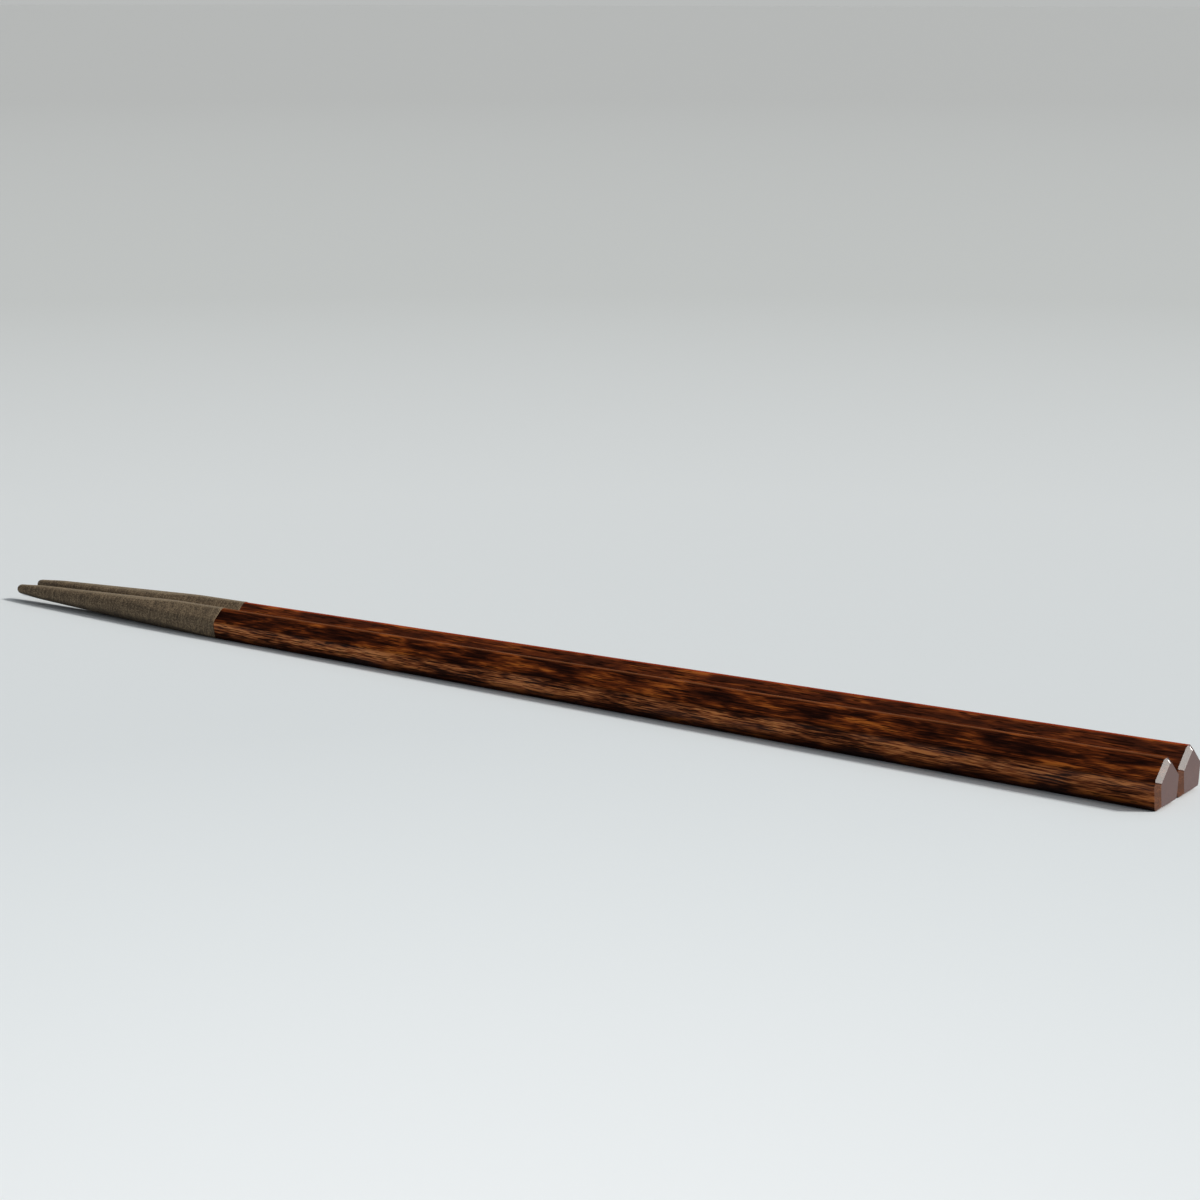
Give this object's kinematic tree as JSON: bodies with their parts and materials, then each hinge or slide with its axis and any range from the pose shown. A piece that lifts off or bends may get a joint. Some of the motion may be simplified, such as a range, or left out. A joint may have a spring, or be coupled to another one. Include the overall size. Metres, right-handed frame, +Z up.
{
  "type": "pair of chopsticks",
  "caption": "Pair of five-sided tapered hardwood chopsticks with lacquered wood and round, matt coated grip tips, laid side by side.",
  "frame": {"origin": "middle of the pair's base, on the table the sticks lie on", "axes": "+X along the sticks from the coated tips to the thick ends, +Y across the pair from the front stick to the rear one, +Z up to the ridges"},
  "size_m": [0.23, 0.0152, 0.0071],
  "materials": {
    "lacquered_wood": "satin clear lacquer on dark red-brown grain",
    "grip_coat": "matte, fine grit"
  },
  "bodies": {
    "root": {"front_stick": "lacquered_wood", "front_tip_coat": "grip_coat", "rear_stick": "lacquered_wood", "rear_tip_coat": "grip_coat"}
  },
  "joints": []
}
